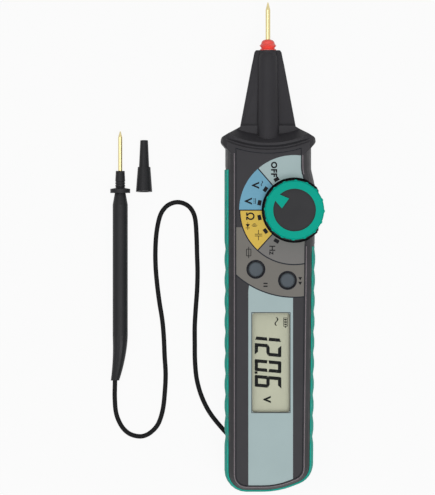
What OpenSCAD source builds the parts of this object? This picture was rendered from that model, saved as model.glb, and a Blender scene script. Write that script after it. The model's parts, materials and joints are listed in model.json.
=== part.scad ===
// Pen-type digital multimeter with a fixed needle, a rotary dial and one test lead.
// Millimetres. It lies on its back: +Z is out of the front, +Y is towards the needle,
// and the origin is on the back face.

/* [Case] */
// Origin to the left side, without the grip
case_left = 16.5; // [15:0.1:19]
// Origin to the right side beside the dial, without the grip
case_right = 18.3; // [17.8:0.1:19.3]
// Origin to the right side above the dial
neck_right = 16.7; // [15.5:0.1:17]
// Origin to the right side at the foot
foot_right = 17.1; // [15.5:0.1:19]
// Origin to the foot end
case_foot = 67.8; // [66:0.2:76]
// How much higher the foot is at its right end
foot_slant = 5.2; // [2:0.1:6]
// Radius of the two foot corners
foot_radius = 8; // [6:0.5:10]
// Back face to the top of the rim
case_height = 25.6; // [24:0.2:30]
// Side wall of both shells
wall = 1.8; // [1.4:0.1:2.4]
// Floor of the back shell
back_wall = 2; // [1.6:0.1:2.6]
// Front wall under the panel
front_wall = 1.8; // [1.4:0.1:2.4]
// Height of the parting plane and of the needle's axis
part_height = 13; // [12:0.2:14]
// How far the sides draw in at the back face
back_tuck = 3.2; // [2:0.1:4]
// How far the sides draw in at the rim
front_tuck = 3.2; // [2.4:0.1:4]

/* [Nose and guard] */
// Origin to the flat end of the nose
nose_end = 103.2; // [95:0.2:115]
// Origin to where the nose meets the guard
nose_root = 73.8; // [73:0.2:76]
// Half the width of the nose at its root
nose_root_half = 10.7; // [9:0.1:12]
// Half the width of the nose at its end
nose_end_half = 5.15; // [4.6:0.05:6]
// Radius of the half-round ridge at the root
ridge_root_r = 4.35; // [4:0.05:5]
// Radius of the half-round ridge at its end
ridge_end_r = 3.85; // [3.6:0.05:4.3]
// Half the width of the finger guard
guard_half = 18.4; // [17.8:0.1:21]
// Origin to the middle of the guard's side ends
guard_y = 68.2; // [67:0.2:70]
// Height of the guard's front edge
guard_height = 27.4; // [26.6:0.2:30]

/* [Grip] */
// Thickness of the grip in its pocket
grip_depth = 1.2; // [0.8:0.1:1.3]
// How far the grip stands out of the case
grip_proud = 0.4; // [0.2:0.05:0.7]
// Lower edge of the grip
grip_low = 3.2; // [2.6:0.2:5]
// Upper edge of the grip
grip_high = 21; // [16:0.2:21.6]
// Top end of the grip on the left side
grip_left_top = 56.7; // [40:0.5:60]
// Top end of the grip on the right side
grip_right_top = 27; // [24:0.5:28]
// Distance between scallops
scallop_pitch = 8.1; // [6:0.1:10]
// Number of scallops on each side
scallop_count = 10; // [4:1:10]
// Depth of a scallop
scallop_depth = 0.4; // [0.2:0.05:0.6]
// Middle of the top scallop
scallop_top = 26.1; // [20:0.1:30]

/* [Panel and display] */
// Width of the rim round the panel
rim_width = 0.7; // [0.5:0.1:1]
// Panel below the rim
panel_drop = 0.6; // [0.4:0.1:1]
// Thickness of the panel
panel_thick = 0.8; // [0.5:0.1:1.2]
// Radius of the arc at the panel's top end
panel_arc = 42.4; // [42.2:0.1:44]
// Width of the window, across the case
window_w = 14.5; // [12:0.5:16]
// Length of the window, along the case
window_l = 38.3; // [32:0.1:40]
// Middle of the window, across the case
window_x = 1; // [-1:0.1:2]
// Middle of the window, along the case
window_y = -17.8; // [-20:0.1:-16]
// Thickness of the lens
lens_thick = 1.2; // [0.8:0.1:1.4]
// Thickness of the display
lcd_thick = 2.2; // [1.6:0.1:2.8]
// Height of the contact strips under the display
zebra_height = 3.6; // [3.2:0.1:4]
// Thickness of the board
board_thick = 1.6; // [1:0.2:2]

/* [Dial] */
// Middle of the dial, across the case
dial_x = 10; // [8:0.2:10.4]
// Middle of the dial, along the case
dial_y = 41; // [38:0.2:42]
// Radius of the dial between its ridges
dial_r = 11.4; // [10:0.1:11.8]
// How far a ridge stands out of the dial
ridge_out = 0.3; // [0.2:0.05:0.5]
// Number of ridges on the dial
ridge_count = 16; // [12:1:24]
// Radius of the dark disc in the dial
dial_disc_r = 8.2; // [7:0.1:9]
// How far the dial stands out of the panel
dial_rise = 6; // [4.5:0.1:9]
// Gap between the dial and its seat
dial_gap = 0.9; // [0.6:0.1:1.2]
// Radius of the dial's shaft
shaft_r = 3; // [2.5:0.1:3.2]
// Direction of the pointer at rest, from +X
pointer_angle = 144; // [120:24:240]

/* [Buttons] */
// Radius of a button
button_r = 2.8; // [2.4:0.1:3]
// Width of the dark ring round a button
button_ring = 0.46; // [0.3:0.02:0.6]
// How far a button stands out of the panel
button_proud = 0.7; // [0.4:0.1:1.2]
// Travel of a button
button_travel = 0.8; // [0.4:0.1:1]
// Distance from the dial's middle to each button
button_reach = 27.2; // [26.4:0.1:28]

/* [Needles] */
// Radius of the tester's needle
needle_r = 0.9; // [0.7:0.05:1]
// Length of the tester's needle outside the collar
needle_out = 14.4; // [8:0.2:19]
// Length of the needle's tapered point
needle_point = 2.9; // [1.5:0.1:4]
// Radius of the needle's shank in the nose
shank_r = 1.5; // [1.2:0.05:1.6]
// Radius of the collar's sharp rim
collar_r = 3.27; // [3:0.05:3.6]
// Length of the collar outside the nose
collar_length = 4.2; // [3:0.1:6]

/* [Battery] */
// Diameter of a button cell
cell_d = 11.6; // [9.5:0.1:12]
// Height of a button cell
cell_h = 5.4; // [3.6:0.1:5.6]
// Middle of the battery bay, along the case
bay_y = -20.4; // [-22:0.1:-19.4]
// Distance between the battery cover and the back face's plane
cover_sunk = 0.2; // [0.1:0.1:0.5]

/* [Lead] */
// Diameter of the lead
cord_d = 1.8; // [1.6:0.1:2]
// Radius of the lead's gland at its root
gland_r = 2.3; // [2:0.05:2.4]
// Length of the gland outside its wall
gland_length = 6.5; // [4:0.5:8]

/* [Probe] */
// Radius of the probe's needle
probe_needle_r = 0.8; // [0.6:0.05:1]
// Length of the probe's needle outside the handle
probe_needle_out = 15.5; // [8:0.5:20]
// Length of the handle's nose, up to the guard
probe_nose = 8.6; // [7.5:0.1:11]
// Radius of the probe's guard
probe_guard_r = 3.9; // [3.6:0.05:4.6]
// Radius of the handle
probe_r = 2.95; // [2.6:0.05:3.4]
// Length of the handle from its guard to the boot
probe_barrel = 55.7; // [50:0.1:60]

/* [Cap] */
// Middle of the cap, across the case
cap_x = -48.3; // [-50:0.1:-46]
// Origin to the cap's open end
cap_mouth = 48.2; // [46.5:0.1:50]
// Length of the cap
cap_length = 20.1; // [17:0.1:24]
// Radius of the cap at its open end
cap_mouth_r = 3.19; // [2.9:0.01:3.6]
// Radius of the cap below its step
cap_step_r = 2.47; // [2.42:0.01:2.7]
// Radius of the cap above its step
cap_neck_r = 2; // [1.9:0.01:2.3]
// Radius of the cap at its closed end
cap_end_r = 1.5; // [1.3:0.01:1.8]
// Open end to the step
cap_step = 9.6; // [8:0.1:12]

/* [Hidden] */
$fn = 64;
// One overrun for every cut
over = 1;
// Pieces that slide or turn on each other stay this far apart
slide_gap = 0.15;
// Radial clearance of a shaft, stem or screw that runs in a hole
run_gap = 0.06;
// Clearance round a piece that is laid in a pocket
lay_gap = 0.1;

// More than the size of any piece
reach = 400;

// Side of the case: it bulges at this height and draws in by a power of the distance
bulge_height = 12;
tuck_power = 2.6;
// Share of the draw-in that the foot end doesn't take
foot_share = 0.45;
// The case runs on into the guard, up to this far before the nose's root
head_back = 1.8;
case_head = nose_root - head_back;
head_radius = 6;
foot_bend_x = 4;
foot_bend_r = 32;
foot_steps = 6;
bend_steps = 4;
flare_low = 50;
flare_high = 57;
flare_r = 5;

// Heights from the front to the back
panel_top = case_height - panel_drop;
panel_seat = panel_top - panel_thick;
ceiling = panel_seat - front_wall;
board_top = ceiling - lcd_thick - zebra_height;
board_z = board_top - board_thick;
dial_top = panel_top + dial_rise;

// Centre of the arcs that the guard and the panel's top end follow
arc_y = 105.5;

// Colours
black = [0.16, 0.16, 0.17];
teal = [0.1, 0.6, 0.5];
brass = [0.83, 0.76, 0.5];
steel = [0.7, 0.7, 0.72];

// General shapes

function unit(v) = v / norm(v);
function flat(p) = [p.x, p.y];
function left_turn(a, b, c) = cross(b - a, c - b) > 0;

// Closed outline with rounded corners, moved inwards by inset.
// A corner is [x, y, radius, segments], and they run counter-clockwise.
function rounded(corners, inset = 0) = [
  for (i = [0:len(corners) - 1])
    let (
      count = len(corners),
      a = flat(corners[(i + count - 1) % count]),
      b = flat(corners[i]),
      c = flat(corners[(i + 1) % count]),
      u = unit(a - b),
      v = unit(c - b),
      half = acos(u * v) / 2,
      side = left_turn(a, b, c) ? 1 : -1,
      bisector = unit(u + v),
      r = corners[i][2] - side * inset,
      centre = b + bisector * (side * inset + r) / sin(half),
      start = u * r / tan(half) - bisector * r / sin(half),
      from = atan2(start.y, start.x),
      sweep = side * (180 - 2 * half),
      segments = corners[i][3]
    )
    for (k = [0:segments])
      centre + r * [cos(from + sweep * k / segments), sin(from + sweep * k / segments)]
];

// Middle of some points
function middle(points) = [for (p = points) 1] * points / len(points);

// Solid through rings of the same number of points, each [x, y, z], from the lowest up
module loft(rings) {
  n = len(rings[0]);
  last = (len(rings) - 1) * n;
  first_middle = last + n;
  last_middle = first_middle + 1;
  polyhedron(
    points = concat([for (ring = rings) each ring], [middle(rings[0]), middle(rings[len(rings) - 1])]),
    faces = [
      for (i = [0:n - 1]) each [
        [i, (i + 1) % n, first_middle],
        [last + (i + 1) % n, last + i, last_middle]
      ],
      for (j = [0:len(rings) - 2]) for (i = [0:n - 1]) each [
        [j * n + i, (j + 1) * n + i, (j + 1) * n + (i + 1) % n],
        [j * n + i, (j + 1) * n + (i + 1) % n, j * n + (i + 1) % n]
      ]
    ],
    convexity = 8
  );
}

function lift(points, z) = [for (p = points) [p.x, p.y, z]];

// Width and length, each larger by an edge at both ends
function grown(size, edge) = size + [2 * edge, 2 * edge];

// A rod along +Y from a point
module rod(at, r, length) {
  translate(at) rotate([-90, 0, 0]) cylinder(r = r, h = length);
}

// Box from its middle in X and Y and its lower and upper heights
module block(at, size, low, high) {
  translate([at.x - size.x / 2, at.y - size.y / 2, low]) cube([size.x, size.y, high - low]);
}

// Upright cylinder from its middle in X and Y and its lower and upper heights
module pillar(at, r, low, high) {
  translate([at.x, at.y, low]) cylinder(r = r, h = high - low);
}

// Plate with round corners
module plate(at, size, r, low, high) {
  x = size.x / 2;
  y = size.y / 2;
  corner_steps = 4;
  translate([at.x, at.y, low]) linear_extrude(high - low)
    polygon(rounded([
      [-x, -y, r, corner_steps], [x, -y, r, corner_steps],
      [x, y, r, corner_steps], [-x, y, r, corner_steps]
    ]));
}

// Everything above or below the parting plane
module above_part() {
  block([0, 0], [reach, reach], part_height, reach);
}
module below_part() {
  block([0, 0], [reach, reach], -over, part_height);
}

// The case's shape

function tuck(z) = z < bulge_height
  ? back_tuck * pow((bulge_height - z) / bulge_height, tuck_power)
  : front_tuck * pow((z - bulge_height) / (case_height - bulge_height), tuck_power);

function case_corners(foot) = [
  [-case_left, -foot, foot_radius, foot_steps],
  [foot_bend_x, -foot, foot_bend_r, bend_steps],
  [foot_right, foot_slant - foot, foot_radius, foot_steps],
  [case_right, flare_low, flare_r, 2],
  [neck_right, flare_high, flare_r, 2],
  [neck_right, case_head, head_radius, 3],
  [-case_left, case_head, head_radius, 3]
];

function case_outline(tuck, inset = 0) =
  rounded(case_corners(case_foot + foot_share * tuck), tuck + inset);

// The case between two heights, its sides moved inwards by inset
module case_body(low, high, inset = 0, steps = 5) {
  loft([
    for (i = [0:steps])
      let (z = low + (high - low) * i / steps)
      lift(case_outline(tuck(min(max(z, 0), case_height)), inset), z)
  ]);
}

// The guard's plan: it bulges past the case and slopes in to the nose
guard_end_half = 1.9;
guard_end_r = 1.2;
guard_foot_share = 3.3;
guard_foot = guard_y - guard_foot_share * guard_end_half;
guard_foot_r = 0.2;
guard_side_r = 1;
module guard_plan() {
  right = [
    [neck_right - front_tuck, guard_foot, guard_foot_r, 1],
    [neck_right, guard_y - guard_end_half - over, guard_side_r, 2],
    [guard_half, guard_y - guard_end_half / 2, guard_end_r, 3],
    [guard_half - guard_end_r / 4, guard_y + guard_end_half / 2, guard_end_r, 3],
    [nose_root_half - guard_end_r / 2, nose_root, guard_foot_r, 1]
  ];
  left = [for (i = [len(right) - 1:-1:0]) [-right[i][0], right[i][1], right[i][2], right[i][3]]];
  polygon(rounded(concat(right, left)));
}

// The guard's section, seen along Y
guard_top_r = 7;
guard_top_steps = 6;
guard_back_r = 4;
guard_back_steps = 4;
module guard_section() {
  polygon(rounded([
    [-guard_half, 0, guard_back_r, guard_back_steps],
    [guard_half, 0, guard_back_r, guard_back_steps],
    [guard_half, guard_height, guard_top_r, guard_top_steps],
    [-guard_half, guard_height, guard_top_r, guard_top_steps]
  ]));
}

module guard_block() {
  intersection() {
    linear_extrude(guard_height + over) guard_plan();
    translate([0, nose_root + over, 0]) rotate([90, 0, 0])
      linear_extrude(nose_root - guard_foot + 2 * over) guard_section();
  }
}

// What lies above the roof, the guard's edge, the groove beside it and the rim
roof_r = 35.2;
roof_z = 19;
edge_r = 38.6;
edge_width = 0.9;
groove_r = 40.3;
groove_width = 0.5;
groove_depth = 0.3;
roof_reach = norm([guard_half, arc_y - guard_foot]) + over;
module above_roof() {
  translate([0, arc_y, 0]) rotate_extrude()
    polygon([
      [roof_r - 3 * ridge_root_r, roof_z],
      [roof_r, roof_z],
      [edge_r, guard_height],
      [edge_r + edge_width, guard_height],
      [groove_r, case_height - groove_depth],
      [groove_r + groove_width, case_height - groove_depth],
      [groove_r + 2 * groove_width, case_height],
      [roof_reach, case_height],
      [roof_reach, 2 * case_height],
      [roof_r - 3 * ridge_root_r, 2 * case_height]
    ]);
}

// Nose: two sloping facets with the ridge between them, and the lower side
facet_drop = 1.6;
nose_edge_r = 0.8;
nose_back_root = 2.5;
nose_back_end = 8.4;
nose_chamfer = 2.4;
nose_lead = 4;
function nose_ring(y, half, back, facet) =
  let (side = facet - facet_drop)
  lift(rounded([
    [-half, -side, nose_edge_r, 2], [0, -facet, nose_edge_r, 1], [half, -side, nose_edge_r, 2],
    [half, -back - nose_chamfer, nose_edge_r, 1], [half - nose_chamfer, -back, nose_edge_r, 1],
    [nose_chamfer - half, -back, nose_edge_r, 1], [-half, -back - nose_chamfer, nose_edge_r, 1]
  ]), y);

module nose_body() {
  slope = (nose_root_half - nose_end_half) / (nose_end - nose_root);
  facet_root = roof_z - facet_drop / 4;
  facet_end = part_height + facet_drop;
  rotate([-90, 0, 0]) loft([
    nose_ring(nose_root - nose_lead, nose_root_half + slope * nose_lead, nose_back_root, facet_root),
    nose_ring(nose_end - nose_edge_r, nose_end_half + slope * nose_edge_r, nose_back_end, facet_end),
    nose_ring(nose_end, nose_end_half - nose_edge_r / 2, nose_back_end + nose_edge_r / 2, facet_end)
  ]);
}

// The ridge slopes down to the needle's axis, ends in a dome and passes into a short barrel
dome_back = 2.9;
dome_step = 15;
module nose_ridge() {
  root = [0, nose_root - 2 * nose_lead, roof_z + facet_drop / 4];
  end = [0, nose_end - dome_back - facet_drop / 2, part_height + facet_drop / 2];
  rise = end - root;
  length = norm(rise);
  difference() {
    union() {
      translate(root) rotate([-90 + atan2(rise.z, rise.y), 0, 0]) rotate_extrude() polygon(concat(
        [[0, 0], [ridge_root_r, 0]],
        [for (a = [0:dome_step:90 - dome_step]) [ridge_end_r * cos(a), length + ridge_end_r * sin(a)]],
        [[0, length + ridge_end_r]]
      ));
      rod([0, end.y, part_height], collar_r + slide_gap, nose_end - end.y);
    }
    block([0, nose_end + ridge_root_r], [4 * ridge_root_r, 2 * ridge_root_r], -over, reach);
  }
}

// Screws, bosses and posts

case_screw_places = [[-9.5, 57.5], [9.5, 57.5], [3, -59.5]];
screw_r = 1.15;
screw_head_r = 2.3;
screw_head_h = 1.5;
screw_seat = 3.4;
screw_length = 15;
boss_r = 2.8;
boss_foot_r = 3.6;
post_r = 1.6;
board_post_places = [[-9.5, 20], [9, 18], [-9, -46], [11, -46], [-9.5, 46]];

// Lead recess in the back, and the gland's place in it
gland_angle = 135;
gland_mouth = [-9.5, -52.6];
gland_z = 2.7;
recess_width = 5.6;
recess_height = 5.4;
recess_reach = 14;
gland_seat = 3;

module lead_frame() {
  translate([gland_mouth.x, gland_mouth.y, gland_z]) rotate([0, 0, gland_angle]) children();
}

module lead_recess() {
  lead_frame() translate([0, -recess_width / 2, -gland_z - over])
    cube([recess_reach, recess_width, recess_height + over]);
}

module lead_recess_walls() {
  intersection() {
    case_body(0, part_height, grip_depth + 2 * lay_gap);
    lead_frame() translate([-gland_seat, -recess_width / 2 - wall, -gland_z])
      cube([recess_reach + gland_seat, recess_width + 2 * wall, recess_height + wall]);
  }
}

// Battery bay in the back, and its cover
cell_gap = 1.1;
bridge_thick = 0.3;
contact_thick = 0.3;
contact_bump = 0.4;
bay_wall = 1.2;
bay_ledge = 1;
bay_size = [cell_d + 2 * cell_gap, 2 * cell_d + 3 * cell_gap];
bay_ceiling = back_wall + bridge_thick + cell_h + contact_bump + contact_thick;
cover_margin = 2.4;
cover_screw_room = 4.8;
cover_size = [bay_size.x + 2 * cover_margin, bay_size.y + 2 * cover_margin + cover_screw_room];
cover_at = [0, bay_y - cover_screw_room / 2];
cover_r = 2;
cover_screw_at = [0, bay_y - bay_size.y / 2 - cover_margin];
cover_screw_r = 1;
cover_screw_head_r = 1.9;
cover_screw_head_h = 1.1;
cover_screw_length = 6;
cover_boss_r = 2.3;
cell_places = [for (side = [-1, 1]) [0, bay_y + side * (cell_d + cell_gap) / 2]];
contact_pin = 0.8;

// Housing

// Band in which the grip lies, from a distance outside the case down to the pocket's floor
module grip_zone(outside) {
  difference() {
    case_body(grip_low, grip_high, -outside, 4);
    grip_core();
    block([0, grip_left_top + reach / 2], [reach, reach], 0, reach);
    block([reach / 2, grip_right_top + reach / 2], [reach, reach], 0, reach);
  }
}

// The case inside the grip's pocket
module grip_core() {
  step = (grip_high - grip_low) / 4;
  case_body(grip_low - step, grip_high + step, grip_depth, 6);
}

module front_case() color(black) difference() {
  union() {
    difference() {
      union() {
        case_body(part_height, case_height);
        intersection() {
          guard_block();
          above_part();
        }
        dial_seat();
      }
      above_roof();
      front_cavity();
      grip_zone(2 * grip_proud);
    }
    intersection() {
      union() {
        nose_body();
        nose_ridge();
      }
      above_part();
    }
    for (at = case_screw_places) pillar(at, boss_r, part_height, ceiling + over / 2);
  }
  translate([0, 0, panel_seat]) linear_extrude(case_height) panel_outline(0);
  nose_cuts();
  dial_cuts();
  window_cuts();
  for (at = button_places) pillar(at, button_r + run_gap, ceiling - over, case_height);
  for (at = case_screw_places) pillar(at, screw_r, part_height - over, screw_seat + screw_length + over);
}

module front_cavity() {
  difference() {
    case_body(part_height - over, ceiling, wall);
    guard_wall();
  }
}

// The cavity stops at this wall inside the guard
module guard_wall() {
  block([0, nose_root], [reach, 2 * (nose_root - guard_foot - wall)], -over, reach);
}

// Seat that carries the dial where it overhangs the case's side
seat_r = dial_r + ridge_out + dial_gap;
seat_cut = 19.4;
seat_depth = 4.5;
module dial_seat() {
  intersection() {
    translate([dial_x, dial_y, panel_seat - seat_depth])
      cylinder(r1 = seat_r - seat_depth / 2, r2 = seat_r, h = seat_depth);
    block([seat_cut - seat_r, dial_y], [2 * seat_r, 3 * seat_r], 0, case_height);
  }
}

// The well that the dial turns in, the hole for its shaft and the room for the rotor
well_depth = 0.8;
module dial_cuts() {
  at = [dial_x, dial_y];
  pillar(at, seat_r, panel_seat - well_depth, case_height + over);
  pillar(at, shaft_r + run_gap, ceiling - over, panel_seat);
  pillar(at, rotor_r + 2 * slide_gap, part_height - over, ceiling);
}

module window_cuts() {
  at = [window_x, window_y];
  plate(at, [window_w, window_l], window_r, ceiling - over, case_height);
  plate(at, grown(lens_size, lay_gap), window_r, panel_seat - lens_thick, case_height);
}

// Bore for the needle's shank, and the way for its terminal
module nose_cuts() {
  far = terminal_front + lay_gap;
  needle_shank(run_gap);
  block(
    [0, (guard_foot + far) / 2], [terminal_room, far - guard_foot],
    min(part_height, board_z) - terminal_room / 2,
    max(part_height + terminal_room / 2, board_z + over)
  );
}

module back_case() color(black) difference() {
  union() {
    difference() {
      union() {
        case_body(0, part_height);
        intersection() {
          guard_block();
          below_part();
        }
      }
      back_cavity();
      grip_zone(2 * grip_proud);
    }
    intersection() {
      nose_body();
      below_part();
    }
    for (at = case_screw_places) pillar(at, boss_foot_r, 0, part_height);
    for (at = board_post_places) pillar(at, post_r, inner_floor, board_z);
    block([0, bay_y], grown(bay_size, bay_wall), inner_floor, bay_ceiling + bay_wall);
    plate(cover_at, grown(cover_size, bay_ledge), cover_r, inner_floor, back_wall + bay_wall);
    pillar(cover_screw_at, cover_boss_r, inner_floor, back_wall + cover_screw_length + bay_wall);
    lead_recess_walls();
  }
  nose_cuts();
  for (at = case_screw_places) {
    pillar(at, screw_r + slide_gap, -over, part_height + over);
    pillar(at, screw_head_r + slide_gap, -over, screw_seat);
  }
  plate(cover_at, grown(cover_size, slide_gap), cover_r, -over, back_wall);
  block([0, bay_y], bay_size, 0, bay_ceiling);
  for (at = cell_places)
    block(at, grown([contact_pin, contact_pin], lay_gap), 0, bay_ceiling + bay_wall + over);
  pillar(cover_screw_at, cover_screw_r + run_gap, 0, back_wall + cover_screw_length);
  lead_recess();
  lead_frame() translate([-gland_seat - over, 0, 0]) rotate([0, 90, 0])
    cylinder(r = gland_r, h = gland_seat + 2 * over);
}

// What stands on the floor begins below its surface
inner_floor = back_wall - over / 2;

module back_cavity() {
  difference() {
    case_body(back_wall, part_height + over, wall);
    guard_wall();
  }
}

// Right edge of the case beside the grip
function right_edge(y) = lookup(y, [[foot_slant - case_foot, foot_right], [flare_low, case_right]]);

// How far a scallop cuts in at a height along the case
function scallop(y) =
  let (
    place = (scallop_top - y) / scallop_pitch,
    offset = abs(place - round(place)),
    inside = place > -0.5 && place < scallop_count - 0.5
  )
  inside ? scallop_depth * pow(cos(180 * offset), 2 * scallop_power) : 0;
scallop_power = 2;
scallop_steps = 6;
// Points of the foot: its two corners and the bend between them
foot_points = 2 * (foot_steps + 1) + bend_steps + 1;

// The grip's outline at one height: straight sides with scallops, and the foot's round corners
function grip_outline(tuck) =
  let (
    inset = tuck - grip_proud,
    foot_line = rounded(case_corners(case_foot + foot_share * tuck), inset),
    low = scallop_top - (scallop_count - 0.5) * scallop_pitch,
    rows = [for (i = [0:scallop_count * scallop_steps]) low + i * scallop_pitch / scallop_steps],
    head = max(grip_left_top, grip_right_top) + over
  )
  concat(
    [for (i = [0:foot_points - 1]) foot_line[i]],
    [for (y = rows) [right_edge(y) - inset - scallop(y), y]],
    [[right_edge(head) - inset, head], [inset - case_left, head]],
    [for (i = [len(rows) - 1:-1:0]) [inset - case_left + scallop(rows[i]), rows[i]]]
  );

module side_grip() color(teal) difference() {
  loft([
    for (i = [0:4])
      let (z = grip_low + (grip_high - grip_low) * i / 4)
      lift(grip_outline(tuck(z)), z)
  ]);
  grip_core();
  block([0, grip_left_top + reach / 2], [reach, reach], 0, reach);
  block([reach / 2, grip_right_top + reach / 2], [reach, reach], 0, reach);
  lead_recess();
}

// Panel, window and display

window_r = 0.8;
lens_margin = 1.2;
lens_size = grown([window_w, window_l], lens_margin);
lcd_margin = 2;
lcd_size = grown([window_w, window_l], lcd_margin);
holder_wall = 1.4;
holder_size = grown(lcd_size, holder_wall + lay_gap);
zebra_width = 2;

// The panel's outline: the case's outline inside the rim, ended by an arc beside the guard
module panel_outline(inset) {
  difference() {
    polygon(case_outline(front_tuck, rim_width + inset));
    translate([0, arc_y]) circle(r = panel_arc + inset, $fn = 256);
  }
}

module front_panel() color([0.45, 0.47, 0.48]) translate([0, 0, panel_seat]) linear_extrude(panel_thick)
  difference() {
    panel_outline(lay_gap);
    translate([dial_x, dial_y]) circle(r = seat_r);
    for (at = button_places) translate(at) circle(r = button_r + button_ring);
    translate([window_x, window_y]) polygon(rounded(window_corners()));
  }

function window_corners() =
  let (x = window_w / 2, y = window_l / 2)
  [[-x, -y, window_r, 4], [x, -y, window_r, 4], [x, y, window_r, 4], [-x, y, window_r, 4]];

module window_lens() color([0.8, 0.85, 0.85, 0.4])
  plate([window_x, window_y], lens_size, window_r, panel_seat - lens_thick, panel_seat);

module lcd_glass() color([0.7, 0.7, 0.6])
  block([window_x, window_y], lcd_size, ceiling - lcd_thick, ceiling);

module lcd_holder() color([0.85, 0.85, 0.85]) difference() {
  block([window_x, window_y], holder_size, board_top, ceiling);
  block([window_x, window_y], grown(lcd_size, lay_gap), board_top - over, ceiling + over);
}

module zebra_strips() color([0.9, 0.6, 0.7])
  for (side = [-1, 1])
    block(
      [window_x, window_y + side * (lcd_size.y / 2 - zebra_width)],
      [lcd_size.x - zebra_width, zebra_width],
      board_top, board_top + zebra_height
    );

// Board and what it carries

board_gap = 0.5;
board_head = 59.8;
board_foot = 54;
module main_board() color([0.1, 0.4, 0.2]) difference() {
  translate([0, 0, board_z]) linear_extrude(board_thick) difference() {
    polygon(case_outline(tuck(board_z), wall + board_gap));
    translate([0, board_head + reach / 2]) square(reach, center = true);
    translate([0, -board_foot - reach / 2]) square(reach, center = true);
  }
  for (at = case_screw_places) pillar(at, boss_r + lay_gap, board_z - over, board_top + over);
}

chip_foot_r = 3.8;
chip_r = 5.5;
chip_h = 1.3;
chip_at = [window_x, bay_y + bay_size.y / 2 + bay_wall + chip_r + lay_gap];
module meter_chip() color([0.1, 0.1, 0.1])
  translate([chip_at.x, chip_at.y, board_z - chip_h])
    cylinder(r1 = chip_foot_r, r2 = chip_r, h = chip_h);

crystal_at = [-6, 34];
crystal_size = [3.2, 8];
crystal_h = 2.4;
module crystal() color(steel) block(crystal_at, crystal_size, board_z - crystal_h, board_z);

protector_at = [2, 50];
protector_r = 3.6;
protector_h = 2.6;
module input_protector() color([0.8, 0.6, 0.2])
  pillar(protector_at, protector_r, board_z - protector_h, board_z);

resistors_at = [2, 30];
resistor_r = 1.15;
resistor_length = 6.4;
resistor_pitch = 3.4;
module input_resistors() color([0.4, 0.6, 0.75])
  for (i = [0:2])
    translate([i * resistor_pitch, 0, 0])
      rod([resistors_at.x, resistors_at.y, board_z - resistor_r], resistor_r, resistor_length);

buzzer_at = [0, 34];
buzzer_r = 7;
buzzer_h = 0.9;
module buzzer() color(brass) pillar(buzzer_at, buzzer_r, back_wall, back_wall + buzzer_h);

dome_base_r = 3;
dome_base_h = 0.6;
dome_shoulder_r = 2.4;
dome_top_r = 1.4;
dome_h = 1.1;
module key_domes() color(steel)
  for (at = button_places) translate([at.x, at.y, board_top]) {
    cylinder(r = dome_base_r, h = dome_base_h);
    translate([0, 0, dome_base_h])
      cylinder(r1 = dome_shoulder_r, r2 = dome_top_r, h = dome_h - dome_base_h);
  }

// Needle of the tester

// Radius of a needle's point and of the neck in its holder, as shares of the needle's
point_share = 0.2;
neck_share = 0.75;
shank_length = 16;
shank_flange_r = 2.4;
shank_flange_h = 1.6;
shank_flange_back = 10;
clip_grip = 1.5;
terminal_front = nose_end - shank_length + clip_grip;
terminal_room = 4.6;
terminal_width = 3;
terminal_thick = 0.4;
clip_length = 3;
clip_wall = 0.5;

module needle_shank(clear) {
  rod([0, nose_end - shank_length - clear, part_height], shank_r + clear, shank_length + 2 * clear);
  rod(
    [0, nose_end - shank_flange_back - clear, part_height],
    shank_flange_r + clear, shank_flange_h + 2 * clear
  );
}

module tip_needle() color(brass) {
  foot = nose_end + collar_length;
  straight = needle_out - needle_point;
  needle_shank(0);
  rod([0, nose_end - over, part_height], needle_r * neck_share, collar_length + 2 * over);
  rod([0, foot, part_height], needle_r, straight);
  translate([0, foot + straight, part_height]) rotate([-90, 0, 0])
    cylinder(r1 = needle_r, r2 = needle_r * point_share, h = needle_point);
}

// Collar: a foot, a waist, a sharp rim and a dome, with the needle through it.
// The shares are of its radius and its length, and the last one is where the dome starts.
collar_shares = [[0.96, 0], [0.96, 0.08], [0.77, 0.2], [1, 0.42], [0.86, 0.56], [0.8, 0.62]];
collar_dome_step = 15;
module tip_collar() color([0.85, 0.1, 0.08]) {
  dome = collar_shares[len(collar_shares) - 1];
  bore_r = needle_r * neck_share;
  dome_r = collar_r * dome[0] - bore_r;
  dome_h = collar_length * (1 - dome[1]);
  translate([0, nose_end, part_height]) rotate([-90, 0, 0]) rotate_extrude() polygon([
    [bore_r, 0],
    for (s = collar_shares) [collar_r * s[0], collar_length * s[1]],
    for (a = [collar_dome_step:collar_dome_step:90 - collar_dome_step])
      [bore_r + dome_r * cos(a), collar_length - dome_h * (1 - sin(a))],
    [bore_r, collar_length]
  ]);
}

// Clip round the shank's end, a tab up to the board's height, and a strip to the board
module tip_terminal() color(brass) {
  foot_y = board_head - 2 * terminal_width;
  difference() {
    union() {
      rod([0, terminal_front - clip_length, part_height], shank_r + clip_wall, clip_length);
      block(
        [0, terminal_front - clip_length / 2], [terminal_width, clip_length],
        min(part_height, board_z - terminal_thick), max(part_height, board_z)
      );
      block(
        [0, (terminal_front + foot_y) / 2], [terminal_width, terminal_front - foot_y],
        board_z - terminal_thick, board_z
      );
    }
    rod([0, terminal_front - clip_length - over, part_height], shank_r, clip_length + 2 * over);
  }
}

// Dial

module dial_frame(z) {
  translate([dial_x, dial_y, z]) rotate([0, 0, pointer_angle]) children();
}

dial_chamfer = 0.5;
ridge_r = 0.9;
disc_sunk = 0.7;
pointer_inner = 4.3;
pointer_half_inner = 2.35;
pointer_half_outer = 1.3;
dial_base = panel_seat - well_depth + slide_gap;
pointer_low = dial_top - 2.4;

module dial_pointer(clear) {
  polygon([
    [pointer_inner - clear, -pointer_half_inner - clear],
    [dial_disc_r + over / 2, -pointer_half_outer - clear],
    [dial_disc_r + over / 2, pointer_half_outer + clear],
    [pointer_inner - clear, pointer_half_inner + clear]
  ]);
}

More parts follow.
